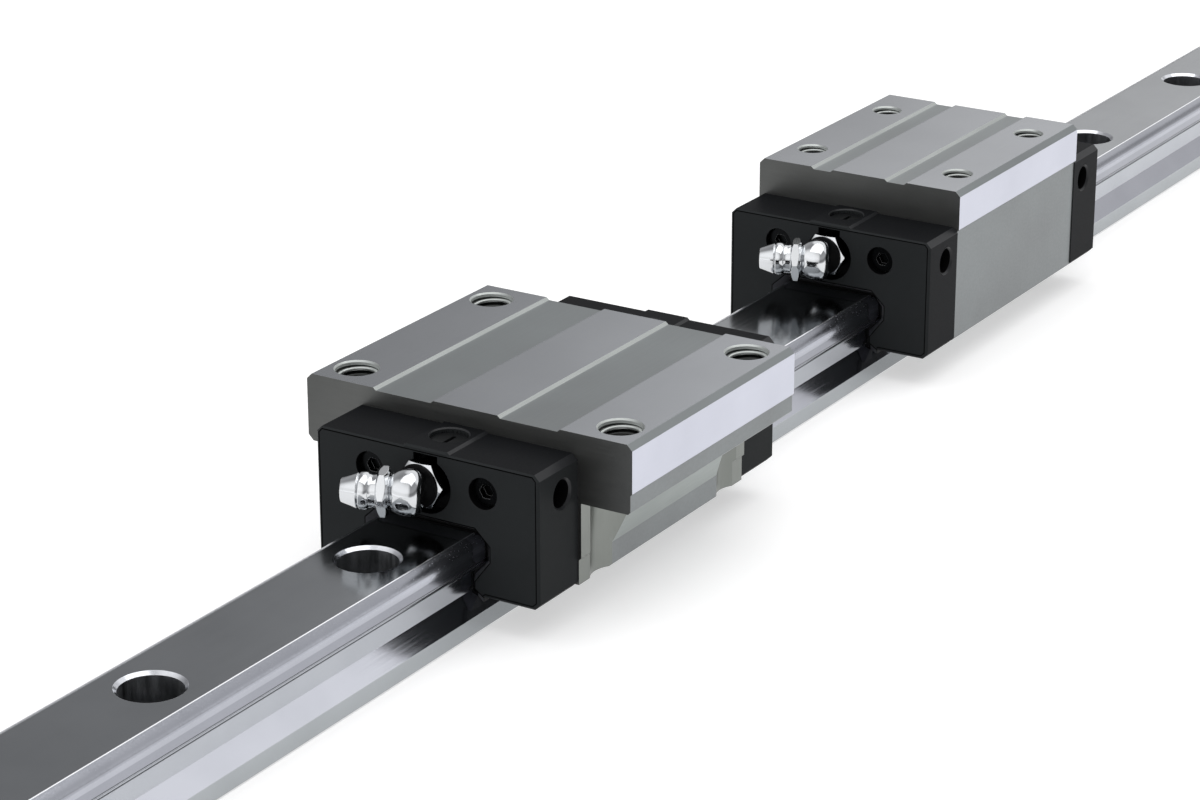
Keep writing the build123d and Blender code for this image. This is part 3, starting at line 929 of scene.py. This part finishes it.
# Places along the nipple's arm and radii: the neck, the grooved barrel and the coned tip.
HEAD_PROFILE = (
    (4.7, 3.0), (4.9, 3.1), (5.2, 3.1), (5.6, 3.02), (6.0, 3.0), (6.3, 3.08), (6.5, 3.25),
    (6.8, 3.4), (7.2, 3.45), (7.7, 3.45), (8.0, 3.38), (8.2, 3.2), (8.3, 3.1), (8.36, 3.12),
    (8.42, 3.26), (8.5, 3.28), (11.3, 2.3), (11.44, 2.18), (11.5, 2.0), (11.5, 0.75),
    (11.1, 0.6),
)


@dataclass
class Nipple:
    """An angled grease nipple: base, hexagon, collar, barrel elbow, thin hexagon and coned head.

    Places along the base's axis are distances in front of the cap's face, and places along
    the arm are distances from the elbow's middle.
    """

    node: str
    body: str
    face_y: float
    height: float = 26.3
    pocket: float = 3.4
    base_radius: float = 3.9
    hexagon: float = 8.2
    hexagon_back: float = 0.6
    hexagon_front: float = 2.15
    collar_radius: float = 4.1
    collar_front: float = 2.9
    neck_radius: float = 2.2
    elbow_reach: float = 6.15
    elbow_radius: float = 4.25
    elbow_half: float = 3.05
    elbow_round: float = 2.0
    elbow_fall: float = 2.4
    elbow_angle: float = 66.0
    flange: float = 8.0
    flange_back: float = 2.75
    flange_front: float = 4.9
    flange_bevel: float = 0.88
    elbow_flat: float = 0.6
    elbow_steps: int = 14
    overlap: float = 0.1
    flat_lean: float = 0.1

    def elbow_profile(self) -> list[tuple[float, float]]:
        """Return the elbow's profile: a tight round at the back, a short flat, a long round."""
        turns = [math.pi / 2 * i / self.elbow_steps for i in range(self.elbow_steps + 1)]
        tight = self.elbow_round
        long = 2 * self.elbow_half - tight - self.elbow_flat

        def corner(end: float, length: float, fall: float, turn: float) -> tuple[float, float]:
            """Return a point on a quarter ellipse that ends at a place along the arm."""
            radius = self.elbow_radius - fall * (1 - math.cos(turn))
            return (end - length * (1 - math.sin(turn)), radius)

        back = [corner(-self.elbow_half, -tight, tight, t) for t in reversed(turns)]
        front = [corner(self.elbow_half, long, self.elbow_fall, t) for t in turns]
        return back + front

    def paint_pocket_reflection(self, piece: bpy.types.Object) -> None:
        """Give the base hexagon's flats a dark finish: a painted reflection of the pocket."""
        mesh = piece.data
        mesh.materials.append(NIPPLE_FLAT_REFLECTION.material())
        elbow_back = self.face_y - self.elbow_reach / 2
        for face in mesh.polygons:
            if face.center.y / MM > elbow_back and abs(face.normal.y) < self.flat_lean:
                face.material_index = 1

    def collar(self) -> None:
        """Build the black collar that seals the elbow to the hexagon."""
        shell = Shell(Vector((0, self.face_y, self.height)), Vector((0, -1, 0)))
        radius = self.collar_radius
        back = [(self.hexagon_front + step, radius - cut) for step, cut in COLLAR_BACK]
        front = [(self.collar_front + step, radius - cut) for step, cut in COLLAR_FRONT]
        shell.turned(back + front)
        piece = make_object(f"{self.node}_collar", shell.points, shell.faces, CAP_BORE_SHADE_AND_BLACK)
        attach(piece, self.body)

    def build(self) -> None:
        """Build the nipple and let it stand for the CAD one."""
        root = self.hexagon_back + self.overlap
        neck = self.hexagon_front - self.overlap
        base = Shell(Vector((0, self.face_y, self.height)), Vector((0, -1, 0)))
        base.turned([(-self.pocket, self.base_radius), (root, self.base_radius)])
        base.hexagon(self.hexagon_back, self.hexagon_front, self.hexagon)
        base.turned([(neck, self.neck_radius), (self.elbow_reach, self.neck_radius)])
        elbow = Vector((0, self.face_y - self.elbow_reach, self.height))
        turn = math.radians(self.elbow_angle)
        arm = Shell(elbow, Vector((-math.sin(turn), -math.cos(turn), 0)))
        arm.turned(self.elbow_profile())
        arm.hexagon(self.flange_back, self.flange_front, self.flange, self.flange_bevel)
        arm.turned(HEAD_PROFILE)
        points = base.points + arm.points
        shift = len(base.points)
        faces = base.faces + [tuple(i + shift for i in f) for f in arm.faces]
        piece = make_object(f"{self.node}_plated", points, faces, NIPPLE_CHROME, sharp=25.0)
        self.paint_pocket_reflection(piece)
        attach(piece, self.body)
        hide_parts(self.node)
        self.collar()
        log.info("%s: %d faces", piece.name, len(faces))


# Right halves of two lines on a cap's outer face, from the top down: across and up.
OUTLINE_SEAM = (
    (22.45, 31.75), (23.1, 31.05), (23.1, 8.05), (22.35, 7.3), (12.3, 7.3), (11.9, 7.0),
)
MOUTH_SEAM = (
    (10.3, 19.6), (13.45, 16.65), (13.45, 13.61), (10.15, 9.3), (10.15, 7.9), (12.0, 6.64),
)


@dataclass
class Seam:
    """A hairline strip of painted shade on a cap's outer face, along its outline or its mouth."""

    node: str
    body: str
    face_y: float
    side: int
    half: Section
    width: float = 0.2
    proud: float = 0.02
    sunk: float = 0.05
    least_mitre: float = 0.5

    def outline(self) -> list[tuple[float, float]]:
        """Return the seam's middle line, from the foot on the left over the top to the right."""
        return [(-x, z) for x, z in reversed(self.half)] + list(self.half)

    def build(self) -> None:
        """Build the seam as a thin closed strip of painted shade on the cap's face."""
        corners = ((1, self.proud), (-1, self.proud), (-1, -self.sunk), (1, -self.sunk))
        line = [Vector(p) for p in self.outline()]
        points: list[Vector] = []
        for i, place in enumerate(line):
            before = (place - line[i - 1]).normalized() if i else None
            after = (line[i + 1] - place).normalized() if i + 1 < len(line) else None
            before = before or after
            after = after or before
            across = Vector((-(before + after).y, (before + after).x)).normalized()
            mitre = max(self.least_mitre, across.dot(Vector((-after.y, after.x))))
            reach = self.width / 2 / mitre
            for hand, depth in corners:
                spot = place + across * reach * hand
                points.append(Vector((spot.x, self.face_y + self.side * depth, spot.y)))
        faces: list[tuple[int, ...]] = [(3, 2, 1, 0)]
        for i in range(len(line) - 1):
            for j in range(4):
                k = (j + 1) % 4
                faces.append((4 * i + j, 4 * i + k, 4 * i + 4 + k, 4 * i + 4 + j))
        last = 4 * (len(line) - 1)
        faces.append((last, last + 1, last + 2, last + 3))
        if self.side < 0:
            faces = [tuple(reversed(f)) for f in faces]
        piece = make_object(self.node, points, faces, CAP_SEAM_SHADE)
        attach(piece, self.body)


@dataclass
class Cap:
    """A moulded end cap with its seal, whose faces are told apart by place and direction."""

    stem: str
    body: str
    face_y: float
    side: int
    flank: Finish
    half_width: float = 23.75
    bottom: float = 6.6
    flank_top: float = 31.4
    port_height: float = 26.3
    port_inset: float = 7.65
    port_reach: float = 3.05
    port_bevel: float = 0.5
    thickness: float = 12.75
    lip_depth: float = 1.85
    skin: float = 0.05
    top_bevel: float = 0.4
    step: float = 0.5
    back_reach: float = 0.1
    funnel_lean: float = 0.2

    def finish_of(self, centre: Vector, normal: Vector) -> Finish:
        """Return the finish of the cap's face with this centre and normal."""
        depth = (self.face_y - centre.y) * self.side
        port = math.hypot(depth - self.port_inset, centre.z - self.port_height)
        at_port = port < self.port_reach and abs(centre.x) > self.half_width - self.port_bevel
        if at_port and LEANING < abs(normal.x) < SQUARE:
            return CAP_BEVEL
        at_top = centre.z > self.flank_top - self.top_bevel and depth > self.step
        if at_top and LEANING < normal.z < SQUARE:
            return CAP_BEVEL
        # Pockets and bores inside the cap get painted shade.
        between = abs(centre.x) < self.half_width - self.skin
        level = self.bottom + self.step < centre.z < self.flank_top
        if between and level and self.top_bevel < depth < self.thickness - self.back_reach:
            return CAP_BORE_SHADE_AND_BLACK
        if abs(normal.x) > SQUARE:
            return self.flank
        # Upward faces take the top finish and its painted shade.
        return CAP_TOP_SHADE if normal.z > SQUARE else CAP_PLASTIC

    def seal_finish_of(self, centre: Vector, normal: Vector) -> Finish:
        """Return the seal face's finish: painted shade at the lip, painted light on its funnel."""
        if (self.face_y - centre.y) * self.side > self.lip_depth:
            return SEAL_LIP_SHADE
        return SEAL_FUNNEL_LIT if self.funnel_lean < normal.y * self.side < FLAT else SEAL_RUBBER

    def dress(self, nodes: dict[str, bpy.types.Object]) -> None:
        """Paint the cap and its seal, and draw the cap's hairlines of painted shade."""
        finishes = tuple(dict.fromkeys((CAP_PLASTIC, CAP_TOP_SHADE, CAP_BEVEL, CAP_BORE_SHADE_AND_BLACK, self.flank)))
        paint(nodes[f"{self.stem}_cap"], finishes, self.finish_of)
        paint(nodes[f"{self.stem}_seal"], (SEAL_RUBBER, SEAL_FUNNEL_LIT, SEAL_LIP_SHADE), self.seal_finish_of)
        for name, half in (("outline", OUTLINE_SEAM), ("mouth", MOUTH_SEAM)):
            Seam(f"{self.stem}_{name}_seam", self.body, self.face_y, self.side, half).build()


@dataclass
class Carriage:
    """One carriage: its block, both caps with their seals, plugs and screws, and its nipple."""

    name: str
    body: str
    block: Block
    cap_flank: Finish
    cap_reach: float = 42.0

    def dress(self, nodes: dict[str, bpy.types.Object]) -> None:
        """Dress every piece of the carriage."""
        self.block.dress(nodes)
        for end, side in (("front", -1), ("rear", 1)):
            stem = f"{self.name}_{end}"
            face_y = self.block.place + side * self.cap_reach
            Cap(stem, self.body, face_y, side, self.cap_flank).dress(nodes)
            plain = {
                f"{stem}_top_plug": PLUG_PLASTIC,
                f"{stem}_screw_left": SCREW_OXIDE,
                f"{stem}_screw_right": SCREW_OXIDE,
            }
            if end == "rear":
                plain[f"{stem}_port_plug"] = PLUG_PLASTIC
            for node, finish in plain.items():
                paint(nodes[node], (finish,), lambda centre, normal, f=finish: f)
            log.info("%s: %d pieces painted", stem, len(plain))
        Nipple(f"{self.name}_nipple", self.body, self.block.place - self.cap_reach).build()


@dataclass(frozen=True)
class Glow:
    """A soft round patch of light in the room, or of shade where its level is below zero."""

    centre: tuple[float, float, float]
    outer: float
    inner: float
    level: float

    def build(self, tree: bpy.types.NodeTree, way: bpy.types.NodeSocket) -> bpy.types.NodeSocket:
        """Add the patch's nodes.

        Args:
            tree: The world's tree.
            way: The direction that is looked in.

        Returns:
            The patch's light in that direction.
        """
        near = add(tree, "ShaderNodeVectorMath", {0: way, 1: self.centre}, operation="DOT_PRODUCT")
        start, end = (math.cos(math.radians(angle)) for angle in (self.outer, self.inner))
        return ranged(
            tree, near.outputs["Value"], start, end, high=self.level,
            interpolation_type="SMOOTHSTEP",
        )


# The room's light by the height of the direction looked in, from 0, level, to 1, overhead.
ROOM_RAMP = (
    (0.0, 0.9), (0.04, 0.5), (0.10, 0.28), (0.25, 0.22),
    (0.29, 0.34), (0.35, 0.41), (0.47, 0.44), (1.0, 0.25),
)

# The window behind, the fill in front, the low strip that lights the near ball track, and the
# dark doorway that the far end of the rail mirrors.
ROOM_GLOWS = (
    Glow((0.137, 0.776, 0.616), 43.5, 35.0, 0.68),
    Glow((-0.300, -0.870, 0.390), 60.0, 25.0, 0.9),
    Glow((0.610, 0.780, 0.140), 17.0, 6.0, 0.75),
    Glow((0.350, 0.920, 0.180), 18.0, 10.5, -0.44),
)


@dataclass
class Studio:
    """The floor, the soft light and the camera of the photograph.

    The floor and the lamp are in metres, the eye in millimetres, the angles in degrees.
    """

    eye: tuple[float, float, float] = (329.409, -604.212, 260.967)
    azimuth: float = 31.827
    elevation: float = 20.880
    roll: float = -0.098
    lens: float = 105.298
    sensor: float = 36.0
    clip: tuple[float, float] = (0.01, 50.0)
    floor_size: float = 12.0
    floor_colour: str = "#cfcfcf"
    floor_glow: float = 0.50
    room_tint: float = 1.02
    key_size: float = 1.7
    key_place: tuple[float, float, float] = (0.25, 0.1, 1.5)
    key_power: float = 14.0

    def camera(self) -> None:
        """Set up the camera at the photograph's place."""
        data = bpy.data.cameras.new("photograph")
        data.sensor_width = self.sensor
        data.sensor_fit = "HORIZONTAL"
        data.lens = self.lens
        data.clip_start, data.clip_end = self.clip
        camera = link("photograph", data)
        turn = Matrix.Rotation(math.radians(self.azimuth), 4, "Z")
        tilt = Matrix.Rotation(math.radians(90 - self.elevation), 4, "X")
        roll = Matrix.Rotation(math.radians(self.roll), 4, "Z")
        place = Matrix.Translation([v * MM for v in self.eye])
        camera.matrix_world = place @ turn @ tilt @ roll
        bpy.context.scene.camera = camera

    def world(self) -> None:
        """Light the scene from a grey room that is white at the floor line, with its glows."""
        world = bpy.data.worlds.new("studio")
        bpy.context.scene.world = world
        tree = empty_tree(world)
        way = add(tree, "ShaderNodeTexCoord").outputs["Generated"]
        up = add(tree, "ShaderNodeSeparateXYZ", {0: way}).outputs["Z"]
        ramp = add(tree, "ShaderNodeValToRGB", {"Fac": up})
        elements = ramp.color_ramp.elements
        while len(elements) < len(ROOM_RAMP):
            elements.new(0.5)
        for element, (place, level) in zip(elements, ROOM_RAMP):
            element.position = place
            element.color = (level, level, level * self.room_tint, 1.0)
        light = ramp.outputs[0]
        for glow in ROOM_GLOWS:
            inputs = {0: light, 1: glow.build(tree, way)}
            light = add(tree, "ShaderNodeVectorMath", inputs, operation="ADD").outputs[0]
        back = add(tree, "ShaderNodeBackground", {"Color": light, "Strength": 1.0})
        add(tree, "ShaderNodeOutputWorld", {"Surface": back.outputs[0]})

    def floor(self) -> None:
        """Lay the pale floor, which shows white outside the object's shadow."""
        half = self.floor_size / 2
        mesh = bpy.data.meshes.new("floor")
        corners = [(-half, -half, 0), (half, -half, 0), (half, half, 0), (-half, half, 0)]
        mesh.from_pydata(corners, [], [(0, 1, 2, 3)])
        floor = link("floor", mesh)
        material = bpy.data.materials.new("pale paper floor")
        tree = empty_tree(material)
        paper = add(tree, "ShaderNodeBsdfDiffuse", {"Color": linear(self.floor_colour)})
        rays = add(tree, "ShaderNodeLightPath").outputs
        seen = rays["Is Camera Ray"]
        for other in ("Is Glossy Ray", "Is Transmission Ray"):
            inputs = {0: seen, 1: rays[other]}
            seen = add(tree, "ShaderNodeMath", inputs, operation="MAXIMUM").outputs[0]
        inputs = {0: seen, 1: self.floor_glow}
        glow = add(tree, "ShaderNodeMath", inputs, operation="MULTIPLY").outputs[0]
        white = add(tree, "ShaderNodeEmission", {"Color": linear("#ffffff"), "Strength": glow})
        both = add(tree, "ShaderNodeAddShader", {0: paper.outputs[0], 1: white.outputs[0]})
        add(tree, "ShaderNodeOutputMaterial", {"Surface": both.outputs[0]})
        mesh.materials.append(material)

    def lamp(self) -> None:
        """Hang one large softbox overhead."""
        data = bpy.data.lights.new("overhead softbox", "AREA")
        data.shape = "SQUARE"
        data.size = self.key_size
        data.energy = self.key_power
        lamp = link("overhead softbox", data)
        lamp.location = self.key_place

    def build(self) -> None:
        """Set up the camera, room, floor and lamp."""
        bpy.context.scene.view_settings.view_transform = "Standard"
        self.camera()
        self.world()
        self.floor()
        self.lamp()
        log.info("studio: ready")


def carriages() -> tuple[Carriage, Carriage]:
    """Return the flanged carriage in front and the slim one behind."""
    flanged_place = -90.0
    flanged_threads = BoreThreads(
        block="flanged_block", body="flanged_carriage", centre=(0.0, flanged_place),
        spacing=(57.0, 45.0), top=35.2, bottom=23.749, wall=4.0, pitch=1.25, depth=0.62,
    )
    flanged = Carriage(
        name="flanged",
        body="flanged_carriage",
        block=Block(
            node="flanged_block", height=36.0, half_width=35.0, place=flanged_place,
            threads=flanged_threads,
        ),
        cap_flank=CAP_PLASTIC,
    )
    slim_place = 60.0
    slim_threads = BoreThreads(
        block="slim_block", body="slim_carriage", centre=(0.0, slim_place),
        spacing=(35.0, 35.0), top=39.3, bottom=30.139, wall=3.0, pitch=1.0, depth=0.5,
    )
    slim = Carriage(
        name="slim",
        body="slim_carriage",
        block=Block(
            node="slim_block", height=40.0, half_width=24.0, place=slim_place,
            threads=slim_threads,
        ),
        # The slim caps' flanks get a finish painted darker, as painted shade.
        cap_flank=CAP_FLANK_SHADE,
    )
    return flanged, slim


def main() -> None:
    """Load the frame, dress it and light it."""
    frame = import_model()
    Rail().dress(frame["nodes"])
    for carriage in carriages():
        carriage.dress(frame["nodes"])
    Studio().build()


if __name__ == "__main__":
    main()
